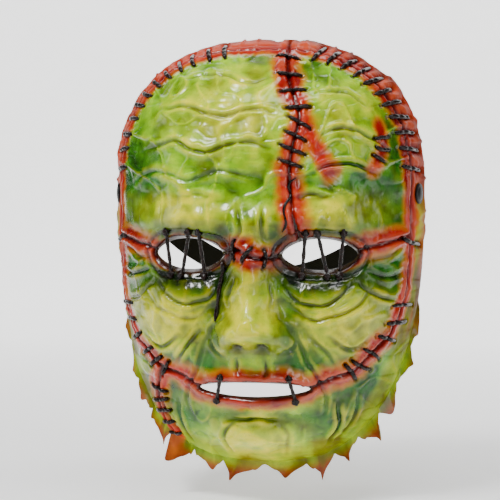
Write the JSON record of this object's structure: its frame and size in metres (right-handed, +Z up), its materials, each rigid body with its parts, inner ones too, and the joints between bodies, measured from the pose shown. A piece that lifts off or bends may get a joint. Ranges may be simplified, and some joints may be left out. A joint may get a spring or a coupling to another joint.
{
  "type": "halloween mask",
  "caption": "Moulded full-face costume mask shell of sewn skin panels with open eye and mouth slots, torn hem, raised stitches and an elastic head strap on rivets.",
  "frame": {"origin": "centre of the face opening in the plane of the rear rim, level with the eye slots", "axes": "+Z up towards the crown, -Y out through the nose, +X towards the viewer's right as the mask is looked at"},
  "size_m": [0.1992, 0.136, 0.279],
  "materials": {
    "latex_skin": "glossy painted latex",
    "latex_band": "glossy painted latex",
    "thread": "glossy dark moulded thread",
    "rivet": "satin black",
    "washer": "matte black",
    "elastic": "woven elastic"
  },
  "bodies": {
    "mask": {"forehead_panel_left": "latex_skin", "forehead_panel_right": "latex_skin", "mid_face_panel": "latex_skin", "cheek_panel_left": "latex_skin", "jaw_panel": "latex_skin", "crown_band_left": "latex_band", "crown_band_right": "latex_band", "forehead_stitches": "thread", "crown_stitches_left": "thread", "crown_stitches_right": "thread", "nose_bridge_stitches": "thread", "cheek_stitches_left": "thread", "cheek_stitches_right": "thread", "jaw_stitches_left": "thread", "scar_stitches_right": "thread", "loose_thread": "thread", "drip_strand": "thread", "mouth_strand_left": "thread", "mouth_strand_right": "thread", "eye_strand_left_1": "thread", "eye_strand_left_2": "thread", "eye_strand_left_3": "thread", "eye_strand_right_1": "thread", "eye_strand_right_2": "thread", "eye_strand_right_3": "thread", "rivet_left": "rivet", "rivet_right": "rivet", "rivet_washer_left": "washer", "rivet_washer_right": "washer"},
    "strap": {"elastic_strap": "elastic"}
  },
  "joints": [
    {"name": "strap_swing", "type": "hinge", "parent": "mask", "child": "strap", "pos_m": [0, -0.018, 0.036], "axis": [1, 0, 0], "range_deg": [-40, 90]}
  ]
}
